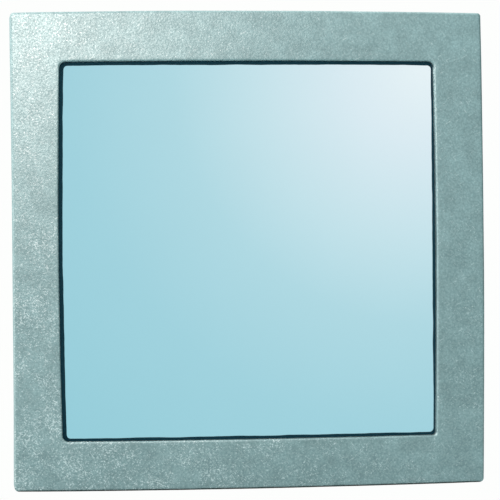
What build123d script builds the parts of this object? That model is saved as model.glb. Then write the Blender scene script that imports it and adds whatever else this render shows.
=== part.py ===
"""A square wall mirror in a sand-cast aluminium frame.

X runs to the right as the viewer sees it, Z up, and the wall is the plane Y = 0 behind the mirror,
which faces the viewer along -Y. The origin is the middle of the wall plane. Every depth below is a
distance in front of the wall, in millimetres.
"""

import os
from math import radians, tan

from build123d import *

# ---- Frame casting ---------------------------------------------------------------------------
frame_width = 300.0  # between the outer corners of the face
frame_height = 300.0
inner_corner_radius = 4.0  # hollow behind the face
face_thickness = 5.0  # front plate, which is also the lip over the glass
skirt_wall = 4.0  # outer wall, from the corners of the face to the hollow at the rim
channel_width = 16.0  # hollow between the outer wall and the rebate wall
rebate_wall = 4.0
lip_overlap = 7.0  # how far the lip stands over the rebate
rebate_corner_radius = 2.0
draft = 1.5  # degrees, so that the pattern leaves the sand
face_round = 1.5  # outer front edge
lip_round = 1.2  # front edge of the opening
rib_thickness = 3.0
rib_drop = 2.0  # ribs stop this far short of the deck

# The pattern was filed by hand, so its sides bow outwards by these small amounts, the left one
# inwards, and its corners aren't equally round
outer_bow = {"top": 1.5, "right": 1.3, "bottom": 1.2, "left": -0.5}
opening_bow = {"top": 0.7, "right": 1.1, "bottom": 0.65, "left": 1.5}
outer_corners = {"top_left": 2.5, "top_right": 2.2, "bottom_right": 2.8, "bottom_left": 3.2}
opening_corners = {"top_left": 3.5, "top_right": 3.5, "bottom_right": 2.0, "bottom_left": 3.5}

# ---- What lies in the rebate -----------------------------------------------------------------
rebate_clearance = 1.0  # round the glass and the board
gasket_thickness = 1.0
gasket_show = {"top": 2.1, "right": 0.5, "bottom": 1.5, "left": 2.6}  # past the opening's corners
gasket_bow = {"top": 0.45, "right": 0.1, "bottom": 0.35, "left": 1.4}  # it was cut to the opening
gasket_corners = {"top_left": 2.5, "top_right": 2.5, "bottom_right": 2.5, "bottom_left": 2.5}
block_length = 20.0  # setting blocks, between the glass and the rebate wall
block_places = 0.5  # along each half side, as a share of it
glass_thickness = 4.0
glass_arris = 0.4
silvering_thickness = 0.1
silvering_margin = 0.5  # bare edge of the glass
foam_thickness = 1.9
foam_margin = 1.5
board_thickness = 3.0
board_corner_radius = 2.0

# ---- Fasteners -------------------------------------------------------------------------------
screw_diameter = 4.0
screw_head_diameter = 8.0
screw_head_height = 2.4
screw_head_round = 1.2
screw_length = 9.0  # under the head
screw_tip = 0.8
recess_span = 4.4  # cross recess in the head
recess_slot = 0.9
recess_depth = 1.3
thread_clearance = 0.05
washer_diameter = 9.0
washer_thickness = 0.5
pivot_clearance = 0.05

# ---- Turn buttons ----------------------------------------------------------------------------
button_width = 10.0
button_reach = 12.0  # from the screw to the middle of the nose
button_thickness = 1.5
button_boss_diameter = 11.0
button_boss_bite = 0.5  # how far a boss runs into the rebate wall
button_edge_round = 0.4
button_gap = 6.0  # between a turned button and the end of a hanger strap

# ---- Hangers ---------------------------------------------------------------------------------
strap_side_gap = 4.0  # free channel beside the strap
strap_thickness = 1.2
strap_screw_spacing = 11.0
strap_end = 5.0  # from the last screw to the strap's end
strap_corner_radius = 3.0
ring_wire = 2.4
ring_reach = 15.0  # from the pivot to the middle of the far side
ring_bend = 1.8
ring_far_bend = 5.0
ring_eye_clearance = 0.1
ring_side_clearance = 0.6
ring_strap_clearance = 0.4  # above the strap when it hangs
ring_end_gap = 0.8  # between the hanging ring and the first screw head
ring_corner_gap = 6.0  # between the raised ring and the corner boss
hanger_boss_diameter = 10.0

# ---- Wall bumpers ----------------------------------------------------------------------------
bumper_diameter = 12.0
bumper_thickness = 2.0
bumper_round = 0.6
corner_boss_diameter = 15.0
corner_boss_bite = 1.5  # how far a corner boss runs into the outer walls
screw_wall_gap = 0.6  # between a screw head and the plane of the rim

# ---- Depths, from the wall towards the viewer ------------------------------------------------
rim_depth = bumper_thickness
hardware_depth = button_thickness + washer_thickness + screw_head_height + screw_wall_gap
deck_depth = rim_depth + hardware_depth  # back of the board, tops of the rebate wall and bosses
board_depth = deck_depth + board_thickness
foam_depth = board_depth + foam_thickness
silvering_depth = foam_depth + silvering_thickness
glass_depth = silvering_depth + glass_thickness
seat_depth = glass_depth + gasket_thickness
face_depth = seat_depth + face_thickness

# ---- Widths, from the outside in -------------------------------------------------------------
rim_inset = (face_depth - rim_depth) * tan(radians(draft))
rim_width = frame_width - 2 * rim_inset
rim_height = frame_height - 2 * rim_inset
rim_corners = {name: radius - rim_inset for name, radius in outer_corners.items()}
border = skirt_wall + channel_width + rebate_wall + lip_overlap
opening_width = frame_width - 2 * border
opening_height = frame_height - 2 * border
rebate_width = opening_width + 2 * lip_overlap
rebate_height = opening_height + 2 * lip_overlap
glass_width = rebate_width - 2 * rebate_clearance
glass_height = rebate_height - 2 * rebate_clearance

# ---- Places on the back ----------------------------------------------------------------------
button_inset = rebate_wall + button_boss_diameter / 2 - button_boss_bite
button_x = rebate_width / 2 + button_inset
button_z = rebate_height / 2 + button_inset
button_sweep = button_reach + button_width / 2

strap_width = channel_width - strap_side_gap
strap_x = rebate_width / 2 + rebate_wall + strap_width / 2
eye_radius = ring_wire / 2 + ring_eye_clearance
pivot_depth = deck_depth - strap_thickness - ring_strap_clearance - ring_wire / 2
first_screw = ring_reach + ring_wire / 2 + ring_end_gap + screw_head_diameter / 2
strap_length = first_screw + strap_screw_spacing + strap_end

corner_boss_inset = skirt_wall - corner_boss_bite + corner_boss_diameter / 2
corner_x = frame_width / 2 - corner_boss_inset
corner_z = frame_height / 2 - corner_boss_inset
pivot_z = corner_z - corner_boss_diameter / 2 - ring_corner_gap - ring_reach - ring_wire / 2
hanger_screw_z = [pivot_z - first_screw, pivot_z - first_screw - strap_screw_spacing]
button_spread = pivot_z - strap_length - button_gap - button_sweep

# A turn button's name, its screw on the back, and the way its nose points when it holds
buttons = {
    "turn_button_top_left": (-button_spread, button_z, (0, -1)),
    "turn_button_top_right": (button_spread, button_z, (0, -1)),
    "turn_button_bottom_left": (-button_spread, -button_z, (0, 1)),
    "turn_button_bottom_right": (button_spread, -button_z, (0, 1)),
    "turn_button_left_upper": (-button_x, button_spread, (1, 0)),
    "turn_button_left_lower": (-button_x, -button_spread, (1, 0)),
    "turn_button_right_upper": (button_x, button_spread, (-1, 0)),
    "turn_button_right_lower": (button_x, -button_spread, (-1, 0)),
}
hangers = {"left": -strap_x, "right": strap_x}
corner_sides = {
    "top_left": (-1, 1),
    "top_right": (1, 1),
    "bottom_right": (1, -1),
    "bottom_left": (-1, -1),
}
bumpers = {name: (x * corner_x, z * corner_z) for name, (x, z) in corner_sides.items()}


def facing_viewer(depth):
    """The plane at a depth, with X right and Z up, that extrudes towards the viewer."""
    return Plane.XZ.offset(depth)


def facing_wall(x, z, depth, along=(1, 0)):
    """The plane at a point of the back that extrudes towards the wall, its x along a direction."""
    return Plane(origin=(x, -depth, z), x_dir=(along[0], 0, along[1]), z_dir=(0, 1, 0))


def bowed_outline(width, height, bow, radii):
    """A face with four sides that bow outwards as shallow arcs, and its own radius at each corner."""
    x, z = width / 2, height / 2
    with BuildSketch() as outline:
        with BuildLine():
            ThreePointArc((-x, z), (0, z + bow["top"]), (x, z))
            ThreePointArc((x, z), (x + bow["right"], 0), (x, -z))
            ThreePointArc((x, -z), (0, -z - bow["bottom"]), (-x, -z))
            ThreePointArc((-x, -z), (-x - bow["left"], 0), (-x, z))
        make_face()
        for name, (side_x, side_z) in corner_sides.items():
            corner = outline.vertices().sort_by_distance((side_x * x, side_z * z))[0]
            fillet(corner, radii[name])
    return outline.sketch


def save(piece, name):
    """Label a finished piece and write its STEP file."""
    piece.part.label = name
    export_step(piece.part, f"parts/{name}.step")


def make_frame():
    """The casting: face plate, drafted outer wall, rebate wall, ribs and bosses."""
    rebate_outer = (rebate_width + 2 * rebate_wall, rebate_height + 2 * rebate_wall)
    with BuildPart() as frame:
        # Widest at the face, so that the pattern leaves the sand towards the viewer
        with BuildSketch(facing_viewer(rim_depth)):
            add(bowed_outline(rim_width, rim_height, outer_bow, rim_corners))
        extrude(amount=face_depth - rim_depth, taper=-draft)
        front = frame.faces().sort_by(Axis.Y)[0]
        fillet(front.edges(), face_round)

        # Hollow inside the outer wall, down to the back of the face plate
        with BuildSketch(facing_viewer(rim_depth)):
            RectangleRounded(
                frame_width - 2 * skirt_wall, frame_height - 2 * skirt_wall, inner_corner_radius
            )
        extrude(amount=seat_depth - rim_depth, taper=draft, mode=Mode.SUBTRACT)

        # Wall round the rebate, and the ribs that tie it to the outer wall
        with BuildSketch(facing_viewer(deck_depth)):
            RectangleRounded(*rebate_outer, rebate_corner_radius + rebate_wall)
        extrude(amount=seat_depth - deck_depth)
        rib_depth = deck_depth + rib_drop
        rib_reach = border - lip_overlap - skirt_wall / 2
        rib_inset = border - lip_overlap - rib_reach / 2
        with BuildSketch(facing_viewer(rib_depth)):
            for across in (-button_spread, 0, button_spread):
                for side in (-1, 1):
                    with Locations((across, side * (frame_height / 2 - rib_inset))):
                        Rectangle(rib_thickness, rib_reach)
                    with Locations((side * (frame_width / 2 - rib_inset), across)):
                        Rectangle(rib_reach, rib_thickness)
        extrude(amount=seat_depth - rib_depth)

        # Bosses for the buttons and hangers, up to the deck, and for the bumpers, up to the rim
        with BuildSketch(facing_viewer(deck_depth)):
            with Locations(*[(x, z) for x, z, _ in buttons.values()]):
                Circle(button_boss_diameter / 2)
            for x in hangers.values():
                with Locations(*[(x, z) for z in hanger_screw_z]):
                    Circle(hanger_boss_diameter / 2)
                with Locations((x, (pivot_z + hanger_screw_z[-1]) / 2)):
                    Rectangle(rib_thickness, pivot_z - hanger_screw_z[-1])
        extrude(amount=seat_depth - deck_depth)
        with BuildSketch(facing_viewer(rim_depth)):
            with Locations(*bumpers.values()):
                Circle(corner_boss_diameter / 2)
        extrude(amount=seat_depth - rim_depth)

        # Rebate for the glass, and the opening in the face
        with BuildSketch(facing_viewer(rim_depth)):
            RectangleRounded(rebate_width, rebate_height, rebate_corner_radius)
        extrude(amount=seat_depth - rim_depth, mode=Mode.SUBTRACT)
        with BuildSketch(facing_viewer(seat_depth)):
            add(bowed_outline(opening_width, opening_height, opening_bow, opening_corners))
        extrude(amount=face_thickness, mode=Mode.SUBTRACT)
        front = frame.faces().sort_by(Axis.Y)[0]
        fillet(front.inner_wires().edges(), lip_round)

        # Blind holes that the screws cut their threads in
        screw_places = [(x, z) for x, z, _ in buttons.values()]
        screw_places += [(x, z) for x in hangers.values() for z in hanger_screw_z]
        with BuildSketch(facing_viewer(deck_depth)):
            with Locations(*screw_places):
                Circle(screw_diameter / 2 + thread_clearance)
        extrude(amount=screw_length, mode=Mode.SUBTRACT)
    save(frame, "frame")


def make_pane():
    """The glass, the silver film on its back, the foam sheet and the board."""
    with BuildPart() as glass:
        with BuildSketch(facing_viewer(silvering_depth)):
            Rectangle(glass_width, glass_height)
        extrude(amount=glass_thickness)
        chamfer(glass.edges(), glass_arris)
    save(glass, "mirror_glass")

    with BuildPart() as silvering:
        with BuildSketch(facing_viewer(foam_depth)):
            Rectangle(glass_width - 2 * silvering_margin, glass_height - 2 * silvering_margin)
        extrude(amount=silvering_thickness)
    save(silvering, "silvering")

    with BuildPart() as foam:
        with BuildSketch(facing_viewer(board_depth)):
            Rectangle(glass_width - 2 * foam_margin, glass_height - 2 * foam_margin)
        extrude(amount=foam_thickness)
    save(foam, "foam_pad")

    with BuildPart() as board:
        with BuildSketch(facing_viewer(deck_depth)):
            RectangleRounded(glass_width, glass_height, board_corner_radius)
        extrude(amount=board_thickness)
    save(board, "backing_board")


def make_gasket():
    """The die-cut rubber gasket on the seat, and the blocks that hold the glass off the walls."""
    top = opening_height / 2 - gasket_show["top"]
    bottom = -opening_height / 2 + gasket_show["bottom"]
    left = -opening_width / 2 + gasket_show["left"]
    right = opening_width / 2 - gasket_show["right"]
    with BuildPart() as gasket:
        with BuildSketch(facing_viewer(glass_depth)):
            Rectangle(glass_width, glass_height)
            with Locations(((left + right) / 2, (top + bottom) / 2)):
                window = bowed_outline(right - left, top - bottom, gasket_bow, gasket_corners)
                add(window, mode=Mode.SUBTRACT)
        extrude(amount=gasket_thickness)
    save(gasket, "glazing_gasket")

    x, z = (glass_width + rebate_clearance) / 2, (glass_height + rebate_clearance) / 2
    with BuildPart() as blocks:
        with BuildSketch(facing_viewer(silvering_depth)):
            for side in (-1, 1):
                for share in (-block_places, block_places):
                    with Locations((share * glass_width / 2, side * z)):
                        Rectangle(block_length, rebate_clearance)
                    with Locations((side * x, share * glass_height / 2)):
                        Rectangle(rebate_clearance, block_length)
        extrude(amount=glass_thickness)
    save(blocks, "setting_blocks")


def make_screw():
    """A pan-head screw with a cross recess: head above the origin, thread below it."""
    head, shank = screw_head_diameter / 2, screw_diameter / 2
    with BuildPart() as screw:
        with BuildSketch(Plane.XY):
            Circle(head)
        extrude(amount=screw_head_height)
        fillet(screw.faces().sort_by(Axis.Z)[-1].edges(), screw_head_round)
        with BuildSketch(Plane.XY):
            Circle(shank)
        extrude(amount=-screw_length)
        chamfer(screw.faces().sort_by(Axis.Z)[0].edges(), screw_tip)
        with BuildSketch(Plane.XY.offset(screw_head_height - recess_depth)):
            Rectangle(recess_span, recess_slot)
            Rectangle(recess_slot, recess_span)
        extrude(amount=recess_depth, mode=Mode.SUBTRACT)
    return screw.part


def make_turn_buttons():
    """Eight flat buttons with round ends, each held by a washer and a screw."""
    for name, (x, z, inward) in buttons.items():
        with BuildPart() as button:
            with BuildSketch(facing_wall(x, z, deck_depth, inward)):
                with Locations((button_reach / 2, 0)):
                    SlotCenterToCenter(button_reach, button_width)
                Circle(screw_diameter / 2 + pivot_clearance, mode=Mode.SUBTRACT)
            extrude(amount=button_thickness)
            fillet(button.faces().sort_by(Axis.Y)[-1].outer_wire().edges(), button_edge_round)
        save(button, name)

    washer_depth = deck_depth - button_thickness
    with BuildPart() as washers:
        for x, z, inward in buttons.values():
            with BuildSketch(facing_wall(x, z, washer_depth)):
                Circle(washer_diameter / 2)
                Circle(screw_diameter / 2 + pivot_clearance, mode=Mode.SUBTRACT)
            extrude(amount=washer_thickness)
    save(washers, "turn_button_washers")

    screw = make_screw()
    with BuildPart() as screws:
        with Locations(
            *[facing_wall(x, z, washer_depth - washer_thickness) for x, z, _ in buttons.values()]
        ):
            add(screw)
    save(screws, "turn_button_screws")


def make_hangers():
    """A strap with a rolled eye on each side, its wire ring, and the screws of both."""
    for side, x in hangers.items():
        with BuildPart() as strap:
            with BuildSketch(Plane.YZ.offset(x - strap_width / 2)):
                with Locations((strap_thickness / 2 - deck_depth, pivot_z - strap_length / 2)):
                    Rectangle(strap_thickness, strap_length)
                with Locations((-pivot_depth, pivot_z)):
                    Circle(eye_radius + strap_thickness)
                    Circle(eye_radius, mode=Mode.SUBTRACT)
            extrude(amount=strap_width)
            foot = strap.edges().filter_by(Axis.Y).group_by(Axis.Z)[0]
            fillet(foot, strap_corner_radius)
            with BuildSketch(facing_wall(x, 0, deck_depth)):
                with Locations(*[(0, -z) for z in hanger_screw_z]):
                    Circle(screw_diameter / 2 + thread_clearance)
            extrude(amount=strap_thickness, mode=Mode.SUBTRACT)
        save(strap, f"hanger_strap_{side}")

        half = strap_width / 2 + ring_side_clearance + ring_wire / 2
        with BuildPart() as ring:
            with BuildLine(facing_viewer(pivot_depth)) as bent:
                Polyline(
                    (x - half, pivot_z),
                    (x + half, pivot_z),
                    (x + half, pivot_z - ring_reach),
                    (x - half, pivot_z - ring_reach),
                    close=True,
                )
                fillet(bent.vertices().group_by(Axis.Z)[-1], ring_bend)
                fillet(bent.vertices().group_by(Axis.Z)[0], ring_far_bend)
            with BuildSketch(Plane(origin=(x, -pivot_depth, pivot_z), z_dir=(1, 0, 0))):
                Circle(ring_wire / 2)
            sweep(path=bent.wire())
        save(ring, f"hanger_ring_{side}")

    screw = make_screw()
    strap_back = deck_depth - strap_thickness
    places = [facing_wall(x, z, strap_back) for x in hangers.values() for z in hanger_screw_z]
    with BuildPart() as screws:
        with Locations(*places):
            add(screw)
    save(screws, "hanger_screws")


def make_bumpers():
    """A soft round bumper on each corner boss, its edge rounded where it meets the wall."""
    for name, (x, z) in bumpers.items():
        with BuildPart() as bumper:
            with BuildSketch(facing_wall(x, z, rim_depth)):
                Circle(bumper_diameter / 2)
            extrude(amount=bumper_thickness)
            fillet(bumper.faces().sort_by(Axis.Y)[-1].edges(), bumper_round)
        save(bumper, f"bumper_{name}")


os.makedirs("parts", exist_ok=True)
make_frame()
make_pane()
make_gasket()
make_turn_buttons()
make_hangers()
make_bumpers()
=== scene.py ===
"""The looks of a square wall mirror in a raw sand-cast aluminium frame, built round its CAD model.

Metres throughout, in the CAD frame: X to the right as the viewer sees it, Z up, the wall at Y = 0.
The sizes that name a depth are distances in front of the wall, in millimetres.
"""

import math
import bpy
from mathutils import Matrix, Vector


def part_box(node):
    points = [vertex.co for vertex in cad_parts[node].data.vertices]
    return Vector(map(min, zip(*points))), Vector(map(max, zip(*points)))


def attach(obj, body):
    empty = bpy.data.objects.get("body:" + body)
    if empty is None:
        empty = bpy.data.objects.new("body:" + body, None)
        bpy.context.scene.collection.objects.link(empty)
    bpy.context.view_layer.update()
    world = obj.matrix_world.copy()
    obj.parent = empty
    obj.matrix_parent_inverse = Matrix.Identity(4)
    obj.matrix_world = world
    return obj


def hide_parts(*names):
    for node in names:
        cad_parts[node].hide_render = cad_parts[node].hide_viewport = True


bl_info = {
    "name": "Cast Aluminium Wall Mirror",
    "version": (1, 0, 0),
    "blender": (4, 5, 0),
    "location": "3D View > Sidebar > Wall Mirror",
    "description": "Builds the frame, pane, backing and hangers of a cast wall mirror",
    "category": "Object",
}

import bmesh
import bpy
from bmesh import ops
from bmesh.types import BMEdge, BMVert
from bpy.props import FloatProperty, FloatVectorProperty, IntProperty, PointerProperty
from mathutils import Matrix, Vector, noise

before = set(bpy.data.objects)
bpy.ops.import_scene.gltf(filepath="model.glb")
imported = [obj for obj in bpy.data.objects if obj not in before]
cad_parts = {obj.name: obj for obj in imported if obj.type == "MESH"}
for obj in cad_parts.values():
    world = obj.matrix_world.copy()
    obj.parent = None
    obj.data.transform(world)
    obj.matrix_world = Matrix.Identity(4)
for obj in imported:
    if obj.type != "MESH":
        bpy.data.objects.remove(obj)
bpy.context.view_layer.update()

MM = 0.001
FULL_TURN = 2 * math.pi
MERGE = 1e-6  # metres, for seams and poles

# Corners in the order that outlines list them, each with its side of the middle
CORNERS = {
    "top_left": (-1, 1),
    "top_right": (1, 1),
    "bottom_right": (1, -1),
    "bottom_left": (-1, -1),
}

# Depths of the casting, in millimetres in front of the wall
RIM, DECK, SEAT, FACE = 2.0, 7.0, 17.0, 22.0
GLASS_BACK, GLASS_FACE = 12.0, 16.0
OUTER_HALF = 150.0  # from the middle to the outer corners of the face
# How far the rebate, the channel's walls and the opening stand in from the outer edge
REBATE_INSET, WALL_INSET, SKIRT_INSET, BORDER = 24.0, 20.0, 4.0, 31.0
FACE_ROUND, LIP_ROUND, ROOT_ROUND, BROKEN_EDGE = 1.5, 1.2, 1.2, 0.3
SKIRT_RADIUS, WALL_RADIUS, REBATE_RADIUS = 4.0, 6.0, 2.0
DRAFT = math.tan(math.radians(1.5))
CLOSE = 0.01  # millimetres, for telling two places in the section apart

# How far the sides bow outwards (top, right, bottom, left), and the radius of each corner
OUTER_BOW = (1.5, 1.3, 1.2, -0.5)
OPENING_BOW = (0.7, 1.1, 0.65, 1.5)
GASKET_BOW = (0.45, 0.1, 0.35, 1.4)
STRAIGHT = (0.0, 0.0, 0.0, 0.0)
OUTER_RADII = (2.5, 2.2, 2.8, 3.2)
OPENING_RADII = (3.5, 3.5, 2.0, 3.5)

# Places on the back, in millimetres from the middle
BUTTON_AT, BUTTON_SPREAD = 135.0, 50.3
STRAP_AT, PIVOT_Z, PIVOT_DEPTH = 136.0, 110.3, 4.2
STRAP_SCREWS = (89.3, 78.3)
BUMPER_AT = 140.0
BUTTON_PLACES = [(x, side * BUTTON_AT) for x in (-BUTTON_SPREAD, BUTTON_SPREAD) for side in (-1, 1)]
BUTTON_PLACES += [(z, x) for x, z in BUTTON_PLACES]
STRAP_PLACES = [(side * STRAP_AT, z) for side in (-1, 1) for z in STRAP_SCREWS]

# Sizes of the fittings: the buttons' round ends and reach, and the radii of a screw and its holes
BUTTON_RADIUS, BUTTON_THICKNESS, BUTTON_REACH = 5.0, 1.5, 12.0
WASHER_BACK, STRAP_THICKNESS = 5.0, 1.2
SCREW_RADIUS, HOLE_RADIUS = 1.98, 2.05


# ---- Small helpers ----


def linear(hex_colour):
    """An sRGB hex colour as linear red, green, blue and alpha."""
    values = [int(hex_colour[i : i + 2], 16) / 255 for i in (1, 3, 5)]
    return (*[v / 12.92 if v <= 0.04045 else ((v + 0.055) / 1.055) ** 2.4 for v in values], 1.0)


def link_inputs(tree, node, inputs):
    """Set or link a node's inputs. A node given as an input is linked from its first output."""
    for key, value in inputs.items():
        if isinstance(value, bpy.types.Node):
            value = value.outputs[0]
        if isinstance(value, bpy.types.NodeSocket):
            tree.links.new(value, node.inputs[key])
        else:
            node.inputs[key].default_value = value


def add_node(tree, kind, inputs=None, stops=None, **settings):
    """Add a shader node with its settings and inputs. Stops are a ramp's colours."""
    made = tree.nodes.new("ShaderNode" + kind)
    for key, value in settings.items():
        setattr(made, key, value)
    link_inputs(tree, made, inputs or {})
    if stops:
        ramp = made.color_ramp.elements
        while len(ramp) < len(stops):
            ramp.new(0.5)
        for element, (position, colour) in zip(ramp, stops):
            element.position = position
            element.color = colour
    return made


def new_material(name, **shader):
    """A material with a Principled shader whose plain sockets are set, its tree and the shader."""
    material = bpy.data.materials.new(name)
    material.use_nodes = True
    tree = material.node_tree
    bsdf = tree.nodes["Principled BSDF"]
    for key, value in shader.items():
        bsdf.inputs[key.replace("_", " ")].default_value = value
    return material, tree, bsdf


def per_mm(size):
    """The scale that gives a texture features of this size in millimetres."""
    return 1.0 / (size * MM)


def link_piece(mesh, name):
    """An object for a mesh, in the scene."""
    piece = bpy.data.objects.new(name, mesh)
    bpy.context.scene.collection.objects.link(piece)
    return piece


def to_mesh(bm, name):
    """A mesh from a bmesh, which is closed first and has its faces turned outwards."""
    ops.remove_doubles(bm, verts=bm.verts, dist=MERGE)
    ops.recalc_face_normals(bm, faces=bm.faces)
    mesh = bpy.data.meshes.new(name)
    bm.to_mesh(mesh)
    bm.free()
    return mesh


def modified(pieces):
    """The first piece as a bmesh with its modifiers applied. All the pieces are used up."""
    made = bmesh.new()
    made.from_object(pieces[0], bpy.context.evaluated_depsgraph_get())
    for used in pieces:
        mesh = used.data
        bpy.data.objects.remove(used)
        bpy.data.meshes.remove(mesh)
    return made


def combine(bm, tool, operation, solver="EXACT"):
    """Join a second bmesh to the first, or cut it away, and give back the result."""
    work = [link_piece(to_mesh(part, "work"), "work") for part in (bm, tool)]
    change = work[0].modifiers.new("change", "BOOLEAN")
    change.operation, change.solver, change.object = operation, solver, work[1]
    return modified(work)


def finish(bm, name, material, nodes, body="mirror", sharp=38.0):
    """Make a piece of a bmesh: shade it, put it on its body, and let it stand for its CAD nodes."""
    mesh = to_mesh(bm, name)
    mesh.materials.append(material)
    mesh.shade_smooth()
    mesh.set_sharp_from_angle(angle=math.radians(sharp))
    piece = link_piece(mesh, name)
    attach(piece, body)
    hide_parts(*nodes)
    return piece


def only(kind, items):
    """The vertices (BMVert) or the edges (BMEdge) of what an operator gives back."""
    return [item for item in items if isinstance(item, kind)]


def verts_of(edges):
    """The vertices at the ends of edges."""
    return {vert for edge in edges for vert in edge.verts}


def rotate(bm, verts, angle, axis):
    """Turn vertices about an axis through the origin."""
    ops.rotate(bm, cent=(0, 0, 0), matrix=Matrix.Rotation(angle, 3, axis), verts=verts)


def box(bm, low, high):
    """A plain box between two corners, in millimetres. Gives back its vertices."""
    made = ops.create_cube(bm, size=1.0)["verts"]
    low, high = Vector(low) * MM, Vector(high) * MM
    ops.scale(bm, vec=high - low, verts=made)
    ops.translate(bm, vec=(low + high) / 2, verts=made)
    return made


def bevel(bm, geom, offset, segments, affect="EDGES"):
    """Round edges or corners, with an arc. Gives back the new vertices."""
    return ops.bevel(
        bm, geom=geom, offset=offset, affect=affect, segments=segments, profile=0.5, material=-1
    )["verts"]


# ---- Shapes ----


def outline(bm, half, depth, radii, bow, shift, cuts=231, steps=8):
    """One closed line of edges that faces the viewer, with rounded corners and bowed sides.

    Sizes are in millimetres.
    """
    grid = ops.create_grid(bm, x_segments=1, y_segments=1, size=1.0)["verts"]
    ops.scale(bm, vec=(half[0], half[1], 1.0), verts=grid)
    for (side_x, side_z), radius in zip(CORNERS.values(), radii):
        corner = [v for v in grid if v.is_valid and v.co.x * side_x > 0 and v.co.y * side_z > 0]
        rounded = bevel(bm, corner, radius, steps, "VERTICES")
        grid = [v for v in grid if v.is_valid]
    face = rounded[0].link_faces[0]
    sides = [edge for edge in face.edges if edge.calc_length() > min(half)]
    ops.delete(bm, geom=[face], context="FACES_ONLY")
    cut = ops.subdivide_edges(bm, edges=sides, cuts=cuts)
    verts = only(BMVert, cut["geom_inner"])[:1]
    edges = [verts[0].link_edges[0]]
    while edges[-1].other_vert(verts[-1]) != verts[0]:
        verts.append(edges[-1].other_vert(verts[-1]))
        edges.append(next(edge for edge in verts[-1].link_edges if edge != edges[-1]))
    top, right, bottom, left = bow
    for vert in verts:
        x, z = vert.co.x, vert.co.y
        share_x, share_z = x / half[0], z / half[1]
        out_x = share_x * (right if x > 0 else left) * (1 - share_z**2)
        out_z = share_z * (top if z > 0 else bottom) * (1 - share_x**2)
        vert.co = Vector((x + out_x + shift[0], -depth, z + out_z + shift[1])) * MM
    return edges


def skin(bm, depths, lines, **detail):
    """Skin outlines, given as (half, radii, bow, shift), into a closed ring.

    Flat neighbours would be joined with a twist, so the outlines are stacked one behind another
    while they are joined, and then go to their depths. Gives back the edges of each.
    """
    rings = [
        outline(bm, half, float(level), radii, bow, shift, **detail)
        for level, (half, radii, bow, shift) in enumerate(lines)
    ]
    for near, far in zip(rings, rings[1:] + rings[:1]):
        ops.bridge_loops(bm, edges=near + far)
    for ring, depth in zip(rings, depths):
        for vert in verts_of(ring):
            vert.co.y = -depth * MM
    return rings


def lathe(bm, profile, x, z, steps=32, closed=False):
    """Turn a profile of (radius, depth) points about an axis that faces the wall. Millimetres."""
    verts = [bm.verts.new(Vector((x + radius, -depth, z)) * MM) for radius, depth in profile]
    chain = list(zip(verts, verts[1:])) + ([(verts[-1], verts[0])] if closed else [])
    edges = [bm.edges.new(pair) for pair in chain]
    ops.spin(
        bm,
        geom=verts + edges,
        cent=Vector((x, 0, z)) * MM,
        axis=(0, 1, 0),
        angle=FULL_TURN,
        steps=steps,
        use_merge=True,
    )


def arc(centre, radius, start, end, steps):
    """Points of an arc about a centre, its angles in degrees."""
    return [
        (centre[0] + radius * math.cos(angle), centre[1] + radius * math.sin(angle))
        for angle in [math.radians(start + (end - start) * i / steps) for i in range(steps + 1)]
    ]


def block(bm, low, high, rounding, corner=0.0, segments=2):
    """A box in millimetres with its edges rounded, and its corners as the viewer sees them too."""
    made = box(bm, low, high)
    if corner:
        upright = [
            edge
            for edge in {edge for vert in made for edge in vert.link_edges}
            if abs((edge.verts[0].co - edge.verts[1].co).normalized().y) > 0.5
        ]
        rounded = bevel(bm, upright, corner * MM, 8)
        made = [vert for vert in made if vert.is_valid] + rounded
    edges = {edge for vert in made for edge in vert.link_edges if edge.calc_face_angle(0) > 0.6}
    bevel(bm, list(edges), rounding * MM, segments)


def plate(node, rounding, corner=0.0, segments=2):
    """A rounded box that fills a CAD node's own box."""
    low, high = [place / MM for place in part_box(node)]
    bm = bmesh.new()
    block(bm, low, high, rounding, corner, segments)
    return bm


def plug(near, far):
    """The profile of a screw's hole between two depths, for lathe."""
    return [(0.0, near), (HOLE_RADIUS, near), (HOLE_RADIUS, far), (0.0, far)]


def relief(point, grades, seed):
    """How deep a surface dips at a point, in millimetres, from noise of several (size, depth)."""
    return sum(
        depth * (0.5 + 0.5 * noise.noise(point / (size * MM) + Vector((seed, 7.0 * i, -seed))))
        for i, (size, depth) in enumerate(grades)
    )


# ---- Materials ----


def streaks(tree, place, turn, shift, length, width):
    """Noise drawn out into streaks across the face, turned by an angle. Millimetres."""
    lay = add_node(tree, "Mapping", {"Vector": place, "Rotation": (0.0, turn, 0.0), "Location": shift})
    along = add_node(
        tree, "Mapping", {"Vector": lay, "Scale": (per_mm(length), per_mm(length), per_mm(width))}
    )
    return add_node(tree, "TexNoise", {"Vector": along, "Scale": 1.0, "Detail": 1.0})


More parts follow.
